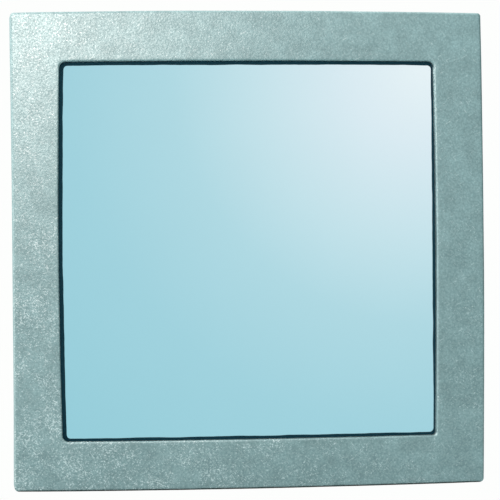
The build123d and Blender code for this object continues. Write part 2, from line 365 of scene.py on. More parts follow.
def cast_aluminium(colours):
    """Aluminium poured in green sand and left raw.

    The sand prints a pebbled skin of 1 to 2 mm grains, and a thin grey-green film dulls it. The eye
    gets a broad soft glare where a light stands near the mirror direction. Small glints on the tops
    of the grains are painted into the colour as highlights, short bright dashes mark where the casting
    was fettled, and the colour is painted darker towards the bottom as shade.
    """
    material, tree, bsdf = new_material("raw_sand_cast_aluminium", Metallic=1.0)
    place = add_node(tree, "TexCoord").outputs["Object"]
    low, high, bright = [linear(colour) for colour in colours]
    # Pebbles as wide as the sand's clumps, and a finer grain on them
    pebble = add_node(
        tree,
        "TexVoronoi",
        {"Vector": place, "Scale": per_mm(1.3), "Smoothness": 0.7},
        feature="SMOOTH_F1",
    )
    grain = add_node(
        tree, "TexNoise", {"Vector": place, "Scale": per_mm(1.1), "Detail": 3.0, "Roughness": 0.6}
    )
    patch = add_node(tree, "TexNoise", {"Vector": place, "Scale": per_mm(9.0), "Detail": 2.0})
    drift = add_node(tree, "TexNoise", {"Vector": place, "Scale": per_mm(70.0), "Detail": 1.0})
    height = add_node(tree, "Math", {0: pebble, 1: -0.8, 2: grain}, operation="MULTIPLY_ADD")
    bump = add_node(tree, "Bump", {"Height": height, "Strength": 1.0, "Distance": 0.08 * MM})
    # The film is thin on the grains' tops and thicker between them
    film = add_node(tree, "MapRange", {"Value": height, "From Min": -0.1, "From Max": 0.5})
    skin = add_node(tree, "Mix", {0: film, 6: low, 7: high}, data_type="RGBA")
    broad = add_node(tree, "Math", {0: drift, 1: 0.5, 2: patch}, operation="MULTIPLY_ADD")
    # Painted shade: a slope added to the film's thickness darkens the colour towards the bottom
    painted_shade_slope = add_node(tree, "VectorMath", {0: place, 1: (0.0, 0.0, 1.3)}, operation="DOT_PRODUCT")
    thickness = add_node(tree, "Math", {0: broad, 1: painted_shade_slope.outputs["Value"]}, operation="ADD")
    shade = add_node(
        tree,
        "MapRange",
        {"Value": thickness, "From Min": 0.25, "From Max": 1.25, "To Min": 0.8, "To Max": 1.2},
    )
    shaded = add_node(tree, "VectorMath", {0: skin.outputs[2], "Scale": shade}, operation="SCALE")
    # Painted glints: grains painted near white as highlights, in loose patches and more of them low on
    # the left
    glint_patches = add_node(tree, "TexNoise", {"Vector": place, "Scale": per_mm(14.0), "Detail": 2.0})
    low_left = add_node(tree, "VectorMath", {0: place, 1: (-0.28, 0.0, -0.22)}, operation="DOT_PRODUCT")
    glint_spread = add_node(
        tree, "Math", {0: glint_patches, 1: 0.3, 2: low_left.outputs["Value"]}, operation="MULTIPLY_ADD"
    )
    strokes = [
        streaks(tree, place, turn, (turn, 0.0, 0.0), length=1.25, width=0.6) for turn in (0.75, -0.65)
    ]
    stroke = add_node(tree, "Math", dict(enumerate(strokes)), operation="MAXIMUM")
    lit = add_node(tree, "Math", {0: glint_spread, 1: stroke}, operation="ADD")
    # Where this mask is high the colour is painted near white, as glints
    painted_glint = add_node(
        tree, "MapRange", {"Value": lit, "From Min": 0.825, "From Max": 0.965, "To Max": 0.85}
    )
    tone = add_node(tree, "Mix", {0: painted_glint, 6: shaded, 7: bright}, data_type="RGBA").outputs[2]
    # Fettling dashes, up to 5 mm long, lying either way
    for turn, seed in ((0.5, 3.0), (-0.9, 8.0)):
        dash = streaks(tree, place, turn, (seed, 0.0, seed), length=5.0, width=0.7)
        mask = add_node(
            tree, "MapRange", {"Value": dash, "From Min": 0.7, "From Max": 0.8, "To Max": 0.5}
        )
        tone = add_node(tree, "Mix", {0: mask, 6: tone, 7: bright}, data_type="RGBA").outputs[2]
    rough = add_node(
        tree,
        "MapRange",
        {"Value": grain, "From Min": 0.3, "From Max": 0.7, "To Min": 0.56, "To Max": 0.4},
    )
    link_inputs(tree, bsdf, {"Base Color": tone, "Roughness": rough, "Normal": bump})
    return material


def silvered_glass(tint):
    """Float glass with silver on its back: a sharp reflection with the glass's faint cool tint.

    It is one clean surface, with a little wiping haze that only roughness carries.
    """
    material, tree, bsdf = new_material("silvered_float_glass", Metallic=1.0)
    place = add_node(tree, "TexCoord").outputs["Object"]
    haze = add_node(tree, "TexNoise", {"Vector": place, "Scale": per_mm(40.0), "Detail": 2.0})
    rough = add_node(
        tree,
        "MapRange",
        {"Value": haze, "From Min": 0.3, "From Max": 0.7, "To Min": 0.015, "To Max": 0.035},
    )
    wave = add_node(
        tree, "Mix", {0: haze, 6: [0.985 * v for v in tint[:3]] + [1.0], 7: tint}, data_type="RGBA"
    )
    link_inputs(tree, bsdf, {"Base Color": wave.outputs[2], "Roughness": rough})
    return material


def grained(name, low, high, size, rough=(0.5, 0.7), depth=0.05, metallic=0.0, detail=3.0):
    """A finish whose tone, gloss and surface follow one grain of this size in millimetres."""
    material, tree, bsdf = new_material(name, Metallic=metallic)
    place = add_node(tree, "TexCoord").outputs["Object"]
    grain = add_node(
        tree, "TexNoise", {"Vector": place, "Scale": per_mm(size), "Detail": detail, "Roughness": 0.6}
    )
    tone = add_node(tree, "MapRange", {"Value": grain, "From Min": 0.3, "From Max": 0.7})
    colour = add_node(tree, "Mix", {0: tone, 6: linear(low), 7: linear(high)}, data_type="RGBA")
    gloss = add_node(tree, "MapRange", {"Value": tone, "To Min": rough[0], "To Max": rough[1]})
    bump = add_node(tree, "Bump", {"Height": grain, "Strength": 1.0, "Distance": depth * MM})
    link_inputs(tree, bsdf, {"Base Color": colour.outputs[2], "Roughness": gloss, "Normal": bump})
    return material


def hardboard():
    """Wet-process hardboard, pressed on a wire screen: brown, with the screen's print on its back.

    The screen's wires are 1.4 mm apart, and short dark fibres lie in every direction.
    """
    material, tree, bsdf = new_material("pressed_hardboard")
    place = add_node(tree, "TexCoord").outputs["Object"]
    fibre = add_node(
        tree,
        "TexNoise",
        {"Vector": place, "Scale": per_mm(2.2), "Detail": 5.0, "Roughness": 0.7, "Distortion": 1.5},
    )
    cloud = add_node(tree, "TexNoise", {"Vector": place, "Scale": per_mm(45.0), "Detail": 2.0})
    brown = add_node(
        tree,
        "ValToRGB",
        {"Fac": fibre},
        stops=[(0.25, linear("#4a3220")), (0.5, linear("#7b5636")), (0.75, linear("#99714a"))],
    )
    shade = add_node(
        tree,
        "MapRange",
        {"Value": cloud, "From Min": 0.3, "From Max": 0.7, "To Min": 0.85, "To Max": 1.1},
    )
    toned = add_node(tree, "VectorMath", {0: brown, "Scale": shade}, operation="SCALE")
    print_x, print_z = [
        add_node(
            tree,
            "TexWave",
            {"Vector": place, "Scale": per_mm(1.4) / FULL_TURN * 2, "Distortion": 0.6},
            bands_direction=direction,
        ).outputs["Fac"]
        for direction in ("X", "Z")
    ]
    screen = add_node(tree, "Math", {0: print_x, 1: print_z}, operation="MAXIMUM")
    surface = add_node(tree, "Math", {0: fibre, 1: 1.5, 2: screen}, operation="MULTIPLY_ADD")
    bump = add_node(tree, "Bump", {"Height": surface, "Strength": 0.8, "Distance": 0.12 * MM})
    link_inputs(tree, bsdf, {"Base Color": toned, "Roughness": 0.78, "Normal": bump})
    return material


def zinc_plated_steel():
    """Pressed steel in bright zinc plate with a clear blue passivate.

    Zinc grows in small grains, so its sheen is softly mottled, and rolling leaves faint long lines.
    """
    material, tree, bsdf = new_material("zinc_plated_steel", Metallic=1.0)
    place = add_node(tree, "TexCoord").outputs["Object"]
    grains = add_node(tree, "TexVoronoi", {"Vector": place, "Scale": per_mm(0.8)}, feature="F1")
    lines = add_node(tree, "Mapping", {"Vector": place, "Scale": (per_mm(0.3), per_mm(0.3), per_mm(8.0))})
    rolled = add_node(tree, "TexNoise", {"Vector": lines, "Scale": 1.0, "Detail": 2.0})
    tone = add_node(
        tree,
        "Mix",
        {0: grains.outputs["Color"], 6: linear("#b4bac0"), 7: linear("#d3d8dc")},
        data_type="RGBA",
    )
    rough = add_node(
        tree,
        "MapRange",
        {"Value": rolled, "From Min": 0.3, "From Max": 0.7, "To Min": 0.24, "To Max": 0.4},
    )
    bump = add_node(tree, "Bump", {"Height": rolled, "Strength": 0.4, "Distance": 0.01 * MM})
    link_inputs(tree, bsdf, {"Base Color": tone.outputs[2], "Roughness": rough, "Normal": bump})
    return material


# ---- What a user may change ----


class MirrorSizes(bpy.types.PropertyGroup):
    """Sizes of the mirror's visible detail."""

    skin_relief: FloatProperty(
        name="Skin relief",
        description="Depth of the dips that the sand leaves in the casting",
        default=0.05 * MM,
        min=0.0,
        unit="LENGTH",
    )
    skin_wander: FloatProperty(
        name="Skin wander",
        description="Depth of the casting's broad unevenness",
        default=0.25 * MM,
        min=0.0,
        unit="LENGTH",
    )
    lip_wander: FloatProperty(
        name="Lip wander",
        description="How far the edge of the opening strays from its line",
        default=0.35 * MM,
        min=0.0,
        unit="LENGTH",
    )
    gasket_wander: FloatProperty(
        name="Gasket wander",
        description="How far the cut edge of the gasket strays from its line",
        default=0.3 * MM,
        min=0.0,
        unit="LENGTH",
    )
    turning_steps: IntProperty(
        name="Turning steps",
        description="Faces round each turned piece, such as a screw or bumper",
        default=40,
        min=12,
        max=96,
    )


class MirrorColours(bpy.types.PropertyGroup):
    """Colours of the mirror's finishes."""

    pane_tint: FloatVectorProperty(
        name="Pane tint",
        description="What the silvered glass does to the light that it reflects",
        subtype="COLOR",
        size=4,
        min=0.0,
        max=1.0,
        default=(0.80, 0.90, 0.93, 1.0),
    )
    floor: FloatVectorProperty(
        name="Floor",
        description="Colour of the studio floor",
        subtype="COLOR",
        size=4,
        min=0.0,
        max=1.0,
        default=linear("#f4f5f4"),
    )


# ---- Pieces ----


def casting_section():
    """The frame's section as (inset from the outer edge, depth) points, in order. Millimetres."""

    def inset(depth):
        """How far the drafted outer wall has come in at a depth."""
        return (FACE - depth) * DRAFT

    def run(start, end, steps):
        """Points of a straight stretch, without its last."""
        return [tuple(a + (b - a) * i / steps for a, b in zip(start, end)) for i in range(steps)]

    shoulder = FACE - FACE_ROUND
    edge = inset(shoulder)
    lip = BORDER - LIP_ROUND
    skirt = SKIRT_INSET + (SEAT - RIM) * DRAFT
    rim = inset(RIM)
    rim_middle, corner, wall_foot = 2.2, 0.15, RIM + 0.5
    points = [(rim + corner, RIM + corner)]
    points += run((inset(wall_foot), wall_foot), (edge, shoulder), 9)
    points += arc((edge + FACE_ROUND, shoulder), FACE_ROUND, 180, 90, 5)
    points += run((edge + FACE_ROUND, FACE), (lip, FACE), 22)[1:]
    points += arc((lip, FACE - LIP_ROUND), LIP_ROUND, 90, 0, 5)
    points += run((BORDER, FACE - LIP_ROUND), (BORDER, SEAT), 3)[1:]
    points += run((BORDER, SEAT), (REBATE_INSET, SEAT), 2)
    points += run((REBATE_INSET, SEAT), (REBATE_INSET, DECK + BROKEN_EDGE), 3)
    points += [(REBATE_INSET, DECK + BROKEN_EDGE), (REBATE_INSET - BROKEN_EDGE, DECK)]
    points += [(WALL_INSET + BROKEN_EDGE, DECK), (WALL_INSET, DECK + BROKEN_EDGE)]
    points += arc((WALL_INSET - ROOT_ROUND, SEAT - ROOT_ROUND), ROOT_ROUND, 0, 90, 3)
    points += run((WALL_INSET - ROOT_ROUND, SEAT), (skirt + ROOT_ROUND, SEAT), 8)[1:]
    points += arc((skirt + ROOT_ROUND, SEAT - ROOT_ROUND), ROOT_ROUND, 90, 180, 3)
    points += run((skirt, SEAT - ROOT_ROUND), (SKIRT_INSET, RIM + BROKEN_EDGE), 6)[1:]
    points += [(SKIRT_INSET, RIM + BROKEN_EDGE), (SKIRT_INSET - BROKEN_EDGE, RIM)]
    points += [(rim_middle, RIM), (rim + 0.5, RIM)]
    return points


def bow_at(place, depth):
    """The bow and the corner radii of the casting at an inset and a depth.

    They run from the outer line's to the opening's, but the channel and the rebate are straight.
    """
    share = min(1.0, place / BORDER)
    if depth >= SEAT and place > REBATE_INSET:
        if depth <= SEAT:
            share = (place - REBATE_INSET) / (BORDER - REBATE_INSET)
            radii = [REBATE_RADIUS + share * (radius - REBATE_RADIUS) for radius in OPENING_RADII]
            return [share * bow for bow in OPENING_BOW], radii
        if depth <= FACE - CLOSE:
            share = 1.0
    elif depth < FACE - FACE_ROUND - CLOSE and place > SKIRT_INSET - 2 * BROKEN_EDGE:
        radius = SKIRT_RADIUS
        if place > (WALL_INSET + REBATE_INSET) / 2:
            radius = REBATE_RADIUS
        elif place >= (SKIRT_INSET + WALL_INSET) / 2:
            radius = WALL_RADIUS
        return STRAIGHT, [radius] * 4
    bow = [a + share * (b - a) for a, b in zip(OUTER_BOW, OPENING_BOW)]
    # A corner's radius shrinks with the inset, as it does along any wall, but never to a point
    radii = [
        max(1.6, a - min(place, 2.0)) * (1 - share) + share * b
        for a, b in zip(OUTER_RADII, OPENING_RADII)
    ]
    return bow, radii


def cast_ring(sizes):
    """The casting without its ribs and bosses, skinned round its section and then roughened."""
    bm = bmesh.new()
    section = casting_section()
    lines = []
    for place, depth in section:
        bow, radii = bow_at(place, depth)
        lines.append(([OUTER_HALF - place] * 2, radii, bow, (0.0, 0.0)))
    rings = skin(bm, [depth for place, depth in section], lines)
    ops.recalc_face_normals(bm, faces=bm.faces)
    bm.normal_update()

    # The glass's seat and the board's rebate were filed true, and the rest is as it was cast
    grades = [(60.0, sizes.skin_wander / MM), (13.0, 0.08), (3.5, sizes.skin_relief / MM)]
    edge_grades = [(38.0, sizes.lip_wander / MM), (11.0, 0.12)]
    moves = []
    for ring, (place, depth) in zip(rings, section):
        seat = place > REBATE_INSET - CLOSE and depth < SEAT + CLOSE
        rebate = place > WALL_INSET - ROOT_ROUND + CLOSE and depth < SEAT - CLOSE
        if seat or rebate:
            continue
        lip = place > BORDER - LIP_ROUND and depth < FACE - LIP_ROUND / 4
        for vert in verts_of(ring):
            dip = relief(vert.co, edge_grades if lip else grades, 2.0)
            moves.append((vert, vert.normal * (dip * MM)))
    for vert, move in moves:
        vert.co -= move
    return bm


def casting_bosses(steps):
    """Bosses for the buttons, the straps and the bumpers, each with a flared foot."""
    bm = bmesh.new()
    kinds = [(x, z, 5.5, DECK, 0.9) for x, z in BUTTON_PLACES]
    kinds += [(x, z, 5.0, DECK, 0.9) for x, z in STRAP_PLACES]
    kinds += [(x * BUMPER_AT, z * BUMPER_AT, 7.5, RIM, 0.4) for x, z in CORNERS.values()]
    for x, z, radius, top, flare in kinds:
        profile = [(0.0, top), (radius - 0.4, top), (radius - 0.1, top + 0.12), (radius, top + 0.4)]
        profile += arc((radius + flare, SEAT - flare), -flare, 0, -90, 4)
        profile += [(radius + flare, SEAT + 1.0), (0.0, SEAT + 1.0)]
        lathe(bm, profile, x, z, steps)
    return bm


def casting_ribs():
    """Ribs that tie the rebate wall to the outer wall, and a web under each strap."""
    bm = bmesh.new()
    half, inner, outer = 1.5, OUTER_HALF - REBATE_INSET + 1.0, OUTER_HALF - 2.4
    for across in (-BUTTON_SPREAD, 0.0, BUTTON_SPREAD):
        for side in (-1, 1):
            near, far = sorted((side * inner, side * outer))
            low, high = -(SEAT + 1.0), -(DECK + 2.0)
            block(bm, (across - half, low, near), (across + half, high, far), 0.6)
            block(bm, (near, low, across - half), (far, high, across + half), 0.6)
    for side in (-1, 1):
        x = side * STRAP_AT
        low, high = (x - half, -(SEAT + 1.0), STRAP_SCREWS[1]), (x + half, -DECK, PIVOT_Z)
        block(bm, low, high, 0.3)
    return bm


def screw_holes():
    """Plugs the size of the blind holes that the screws cut their threads in."""
    bm = bmesh.new()
    for x, z in BUTTON_PLACES + STRAP_PLACES:
        lathe(bm, plug(DECK - 1.0, DECK + 9.0), x, z, 24)
    return bm


class WALL_MIRROR_OT_frame(bpy.types.Operator):
    """Build the sand-cast frame, with its ribs and bosses"""

    bl_idname = "wall_mirror.frame"
    bl_label = "Cast Frame"

    def execute(self, context):
        sizes = context.scene.mirror_sizes
        casting = cast_ring(sizes)
        for tool, operation in (
            (casting_bosses(sizes.turning_steps), "UNION"),
            (casting_ribs(), "UNION"),
            (screw_holes(), "DIFFERENCE"),
        ):
            casting = combine(casting, tool, operation, "MANIFOLD")
        skin = cast_aluminium(("#9aa9aa", "#b3c0c0", "#f3f1f0"))
        finish(casting, "cast_frame", skin, ["frame"])
        return {"FINISHED"}


class WALL_MIRROR_OT_pane(bpy.types.Operator):
    """Build the glass and the silver film on its back"""

    bl_idname = "wall_mirror.pane"
    bl_label = "Mirror Pane"

    def execute(self, context):
        pane = plate("mirror_glass", 0.4, segments=3)
        tint = tuple(context.scene.mirror_colours.pane_tint)
        finish(pane, "mirror_pane", silvered_glass(tint), ["mirror_glass"], sharp=12.0)

        # Copper and grey backing paint, rolled on, so that it has the faint skin of a roller
        paint = grained("mirror_backing_paint", "#4d5a5c", "#5c696b", 1.2, (0.35, 0.5), 0.02)
        film = plate("silvering", 0.03, corner=0.6, segments=1)
        finish(film, "silver_film", paint, ["silvering"], sharp=12.0)
        return {"FINISHED"}


class WALL_MIRROR_OT_gasket(bpy.types.Operator):
    """Build the die-cut gasket in front of the glass and the setting blocks round it"""

    bl_idname = "wall_mirror.gasket"
    bl_label = "Gasket and Blocks"

    def execute(self, context):
        # Black chloroprene sheet, matt from talc, with the slight fuzz of a knife cut. Its blue-teal
        # near-black is partly painted shade: it stands for the shaded gap between the lip and the glass
        rubber = grained("black_chloroprene_and_painted_shade", "#082631", "#0d3744", 0.9, (0.75, 0.9), 0.03)
        rubber.node_tree.nodes["Principled BSDF"].inputs["Specular IOR Level"].default_value = 0.15
        glass, rebate = 125.0, OUTER_HALF - REBATE_INSET
        left, right, top, bottom = -116.4, 118.5, 116.9, -117.5
        window = ((left + right) / 2, (top + bottom) / 2)
        opening = ((right - left) / 2, (top - bottom) / 2)
        bm = bmesh.new()
        outside = ((glass, glass), [0.8] * 4, STRAIGHT, (0.0, 0.0))
        inside = (opening, [2.5] * 4, GASKET_BOW, window)
        lines = [outside, outside, inside, inside]
        depths = (GLASS_FACE, SEAT, SEAT, GLASS_FACE)
        rings = skin(bm, depths, lines, cuts=160, steps=6)
        wander = context.scene.mirror_sizes.gasket_wander / MM
        for vert in verts_of(rings[2] + rings[3]):
            flat = Vector((vert.co.x, 0.0, vert.co.z))
            stray = wander * noise.noise(flat / (14.0 * MM)) + 0.1 * noise.noise(flat / (4.0 * MM))
            vert.co += flat.normalized() * (stray * MM)
        finish(bm, "glazing_gasket_sheet", rubber, ["glazing_gasket"])

        blocks = bmesh.new()
        spread, half = 62.5, 10.0
        for side in (-1, 1):
            near, far = sorted((side * glass, side * rebate))
            for start in (-spread - half, spread - half):
                end = start + 2 * half
                block(blocks, (start, -GLASS_FACE, near), (end, -GLASS_BACK, far), 0.12)
                block(blocks, (near, -GLASS_FACE, start), (far, -GLASS_BACK, end), 0.12)
        finish(blocks, "glass_setting_blocks", rubber, ["setting_blocks"])
        return {"FINISHED"}


class WALL_MIRROR_OT_backing(bpy.types.Operator):
    """Build the foam sheet and the board that close the back"""

    bl_idname = "wall_mirror.backing"
    bl_label = "Foam and Board"

    def execute(self, context):
        # Closed-cell polyethylene foam sheet: off-white, with cells about half a millimetre wide
        cells = grained("polyethylene_foam", "#d9dcd8", "#eceeea", 0.6, (0.7, 0.85), 0.08)
        sheet = plate("foam_pad", 0.5, corner=1.5, segments=3)
        foam = finish(sheet, "foam_sheet", cells, ["foam_pad"], sharp=12.0)

        board = plate("backing_board", 0.35, corner=2.0, segments=2)
        finish(board, "hardboard_back", hardboard(), ["backing_board"], sharp=12.0)
        return {"FINISHED"}


def button_shape():
    """A turn button whose screw is at the origin and whose nose points along X.

    It is pressed from strip, so the edge that faces the wall is rounded.
    """
    bm = bmesh.new()
    ends, radius = 32, BUTTON_RADIUS * MM
    made = ops.create_circle(bm, cap_ends=True, segments=ends, radius=radius)["verts"]
    rotate(bm, made, math.pi / ends, "Z")
    rotate(bm, made, -math.pi / 2, "X")
    ops.translate(bm, vec=(0.0, -BUTTON_THICKNESS / 2 * MM, 0.0), verts=made)
    nose = [vert for vert in made if vert.co.x > 0]
    ops.translate(bm, vec=(BUTTON_REACH * MM, 0.0, 0.0), verts=nose)
    top = ops.extrude_face_region(bm, geom=list(bm.faces), use_keep_orig=True)["geom"]
    lifted = only(BMVert, top)
    ops.translate(bm, vec=(0.0, BUTTON_THICKNESS * MM, 0.0), verts=lifted)
    bevel(bm, only(BMEdge, top), 0.4 * MM, 4)
    return bm


class WALL_MIRROR_OT_buttons(bpy.types.Operator):
    """Build the eight turn buttons and their washers"""

    bl_idname = "wall_mirror.buttons"
    bl_label = "Turn Buttons"

    def execute(self, context):
        steel = zinc_plated_steel()
        steps = context.scene.mirror_sizes.turning_steps
        buttons = {
            "top_left": (-BUTTON_SPREAD, BUTTON_AT, (0, -1)),
            "top_right": (BUTTON_SPREAD, BUTTON_AT, (0, -1)),
            "bottom_left": (-BUTTON_SPREAD, -BUTTON_AT, (0, 1)),
            "bottom_right": (BUTTON_SPREAD, -BUTTON_AT, (0, 1)),
            "left_upper": (-BUTTON_AT, BUTTON_SPREAD, (1, 0)),
            "left_lower": (-BUTTON_AT, -BUTTON_SPREAD, (1, 0)),
            "right_upper": (BUTTON_AT, BUTTON_SPREAD, (-1, 0)),
            "right_lower": (BUTTON_AT, -BUTTON_SPREAD, (-1, 0)),
        }
        for name, (x, z, nose) in buttons.items():
            node = f"turn_button_{name}"
            bm = button_shape()
            hole = bmesh.new()
            lathe(hole, plug(-3.0, 3.0), 0.0, 0.0, steps)
            bm = combine(bm, hole, "DIFFERENCE")
            angle = -math.atan2(nose[1], nose[0])
            rotate(bm, bm.verts, angle, "Y")
            middle = Vector((x, BUTTON_THICKNESS / 2 - DECK, z)) * MM
            ops.translate(bm, vec=middle, verts=bm.verts)
            finish(bm, f"{node}_pressed", steel, [node], body=node)

        washers = bmesh.new()
        # The button turns on the washer's face, and the two are drawn a hair's breadth apart
        hair, radius, edge = 0.03, 4.5, 0.1
        face = DECK - BUTTON_THICKNESS - hair
        profile = [(HOLE_RADIUS, face), (radius - edge, face), (radius, face - edge)]
        profile += [(radius, WASHER_BACK + edge), (radius - edge, WASHER_BACK)]
        profile += [(HOLE_RADIUS, WASHER_BACK)]
        for x, z, nose in buttons.values():
            lathe(washers, profile, x, z, steps, closed=True)
        finish(washers, "button_washers", steel, ["turn_button_washers"])
        return {"FINISHED"}


def pan_head_screw(steps):
    """A pan-head screw under the origin plane: its head towards the wall, its thread in the boss."""
    profile = [(0.0, -2.4), (2.6, -2.4), (3.2, -2.25), (3.7, -1.85), (3.95, -1.3), (4.0, -1.0)]
    profile += [(4.0, -0.08), (3.92, 0.0), (SCREW_RADIUS, 0.0)]
    pitch, root, plain, length = 0.7, 1.6, 0.5, 9.0
    for thread in range(11):
        top = plain + thread * pitch
        profile += [(root, top), (SCREW_RADIUS, top + pitch / 2)]
    profile += [(1.2, length), (0.0, length)]
    screw = bmesh.new()
    lathe(screw, profile, 0.0, 0.0, steps)

    # Cross recess: two tapered bars cut from the head
    for x, z in ((4.4, 0.9), (0.9, 4.4)):
        bar = bmesh.new()
        made = box(bar, (-x / 2, 1.1, -z / 2), (x / 2, 3.7, z / 2))
        deep = [vert for vert in made if vert.co.y < 2.4 * MM]
        ops.scale(bar, vec=(0.72, 1.0, 0.72), verts=deep)
        screw = combine(screw, bar, "DIFFERENCE")
    return screw


def copies(shape, places):
    """One bmesh with the shape at each (x, depth, z) place, in millimetres."""
    mesh = to_mesh(shape, "work")
    bm = bmesh.new()
    for x, depth, z in places:
        before = len(bm.verts)
        bm.from_mesh(mesh)
        bm.verts.ensure_lookup_table()
        ops.translate(bm, vec=Vector((x, -depth, z)) * MM, verts=bm.verts[before:])
    bpy.data.meshes.remove(mesh)
    return bm


class WALL_MIRROR_OT_screws(bpy.types.Operator):
    """Build the pan-head screws of the buttons and the straps"""

    bl_idname = "wall_mirror.screws"
    bl_label = "Screws"

    def execute(self, context):
        steel = bpy.data.materials["zinc_plated_steel"]
        steps = context.scene.mirror_sizes.turning_steps
        strap_face = DECK - STRAP_THICKNESS
        for name, places, under_head, node in (
            ("button_screws", BUTTON_PLACES, WASHER_BACK, "turn_button_screws"),
            ("strap_screws", STRAP_PLACES, strap_face, "hanger_screws"),
        ):
            bm = copies(pan_head_screw(steps), [(x, under_head, z) for x, z in places])
            finish(bm, name, steel, [node])
        return {"FINISHED"}


def strap_shape(x, steps):
    """A strip with rounded feet, rolled into an eye round the ring's wire, with two screw holes."""
    roll, half = 1.9, 6.0
    bm = bmesh.new()
    foot, neck = PIVOT_Z - 37.0, PIVOT_Z - 3.0
    middle = DECK - STRAP_THICKNESS / 2
    made = ops.create_grid(bm, x_segments=1, y_segments=1, size=1.0)["verts"]
    for vert in made:
        vert.co = Vector((x + half * vert.co.x, -middle, foot if vert.co.y < 0 else neck)) * MM
    feet = [vert for vert in made if vert.co.z < (foot + 1) * MM]
    bevel(bm, feet, 3.0 * MM, 8, "VERTICES")
    end = [edge for edge in bm.edges if min(v.co.z for v in edge.verts) > (neck - 0.1) * MM]
    for depth, z in ((middle - 0.05, PIVOT_Z - 2.0), (PIVOT_DEPTH + roll, PIVOT_Z)):
        made = ops.extrude_edge_only(bm, edges=end)["geom"]
        end = only(BMEdge, made)
        for vert in verts_of(end):
            vert.co.y, vert.co.z = -depth * MM, z * MM
        end = [
            edge
            for edge in end
            if abs(edge.verts[0].co.x - edge.verts[1].co.x) > MM
            and abs(edge.verts[0].co.z - z * MM) < MERGE
        ]
    pivot = Vector((x, -PIVOT_DEPTH, PIVOT_Z)) * MM
    ops.spin(
        bm, geom=end + list(verts_of(end)), cent=pivot, axis=(1, 0, 0), angle=math.radians(300), steps=26
    )
    ops.recalc_face_normals(bm, faces=bm.faces)
    strip = link_piece(bpy.data.meshes.new("work"), "work")
    bm.to_mesh(strip.data)
    bm.free()
    wall = strip.modifiers.new("wall", "SOLIDIFY")
    wall.thickness, wall.offset = STRAP_THICKNESS * MM, 0.0
    holes = bmesh.new()
    for z in STRAP_SCREWS:
        lathe(holes, plug(DECK - 3.0, DECK + 2.0), x, z, steps)
    return combine(modified([strip]), holes, "DIFFERENCE")


def ring_shape(x):
    """Round wire bent into a ring: straight through the eye, and round at its far end."""
    half, reach, bend, far_bend, wire = 7.8, 15.0, 1.8, 5.0, 1.2
    bm = bmesh.new()
    made = ops.create_circle(bm, cap_ends=False, segments=20, radius=wire * MM)["verts"]
    rotate(bm, made, math.pi / 2, "Y")
    start = Vector((x, -PIVOT_DEPTH, PIVOT_Z)) * MM
    ops.translate(bm, vec=start, verts=made)
    edges = list(bm.edges)
    top, bottom = PIVOT_Z, PIVOT_Z - reach
    route = [
        ((half - bend, 0.0), (x + half - bend, top - bend)),
        ((0.0, -(reach - bend - far_bend)), (x + half - far_bend, bottom + far_bend)),
        ((-2 * (half - far_bend), 0.0), (x - half + far_bend, bottom + far_bend)),
        ((0.0, reach - bend - far_bend), (x - half + bend, top - bend)),
        ((half - bend, 0.0), None),
    ]
    for (step_x, step_z), centre in route:
        made = ops.extrude_edge_only(bm, edges=edges)["geom"]
        verts = only(BMVert, made)
        ops.translate(bm, vec=Vector((step_x, 0.0, step_z)) * MM, verts=verts)
        edges = [edge for edge in only(BMEdge, made) if all(vert in verts for vert in edge.verts)]
        if centre is None:
            continue
        spun = ops.spin(
            bm,
            geom=verts + edges,
            cent=Vector((centre[0], -PIVOT_DEPTH, centre[1])) * MM,
            axis=(0, 1, 0),
            angle=math.pi / 2,
            steps=8,
        )
        edges = only(BMEdge, spun["geom_last"])
    return bm


class WALL_MIRROR_OT_hangers(bpy.types.Operator):
    """Build the hanger straps and the rings that swing in them"""

    bl_idname = "wall_mirror.hangers"
    bl_label = "Straps and Rings"

    def execute(self, context):
        steel = bpy.data.materials["zinc_plated_steel"]
        # Drawn steel wire in bright nickel: smoother than the zinc, with faint drawing marks
        wire = grained("bright_drawn_wire", "#c4c5c3", "#dcdcd8", 0.5, (0.16, 0.26), 0.005, metallic=1.0)
        steps = context.scene.mirror_sizes.turning_steps
        for side, x in (("left", -STRAP_AT), ("right", STRAP_AT)):
            node = f"hanger_strap_{side}"
            bm = strap_shape(x, steps)
            finish(bm, f"{node}_rolled", steel, [node])
            node = f"hanger_ring_{side}"
            bm = ring_shape(x)
            finish(bm, f"{node}_wire", wire, [node], body=node)
        return {"FINISHED"}


class WALL_MIRROR_OT_bumpers(bpy.types.Operator):
    """Build the rubber bumpers that keep the casting off the wall"""

    bl_idname = "wall_mirror.bumpers"
    bl_label = "Wall Bumpers"

    def execute(self, context):
        # Moulded rubber, dark grey, slightly shiny where it was against the mould
        rubber = grained("moulded_grey_rubber", "#23272a", "#343a3d", 0.7, (0.5, 0.65), 0.02)
        steps = context.scene.mirror_sizes.turning_steps
        profile = [(0.0, 0.0), (5.2, 0.0)] + arc((5.4, 0.6), 0.6, -90, 0, 4)
        profile += [(6.0, 1.9), (5.9, 2.0), (0.0, 2.0)]
        for name, (side_x, side_z) in CORNERS.items():
            bm = bmesh.new()
            lathe(bm, profile, side_x * BUMPER_AT, side_z * BUMPER_AT, steps)
            node = f"bumper_{name}"
            finish(bm, f"{node}_moulded", rubber, [node])
        return {"FINISHED"}


# ---- Stage ----

# Brightness of the sky from the lower right (0) past straight ahead (0.5) to the upper left (1)
SKY = (
    (0.0, 0.08, "#dcfdff"),
    (0.15, 0.12, "#dcfdff"),
    (0.325, 0.52, "#d7feff"),
    (0.5, 0.69, "#d7feff"),
    (0.675, 0.9, "#d7feff"),
    (0.85, 1.9, "#f0fcfb"),
    (1.0, 2.3, "#f8fdfb"),
)

# A black flag close below the frame, which its lower edge reflects: its corners in millimetres
FLAG = ((-150.0, -32.0, -158.0), (150.0, 10.0, -157.0))

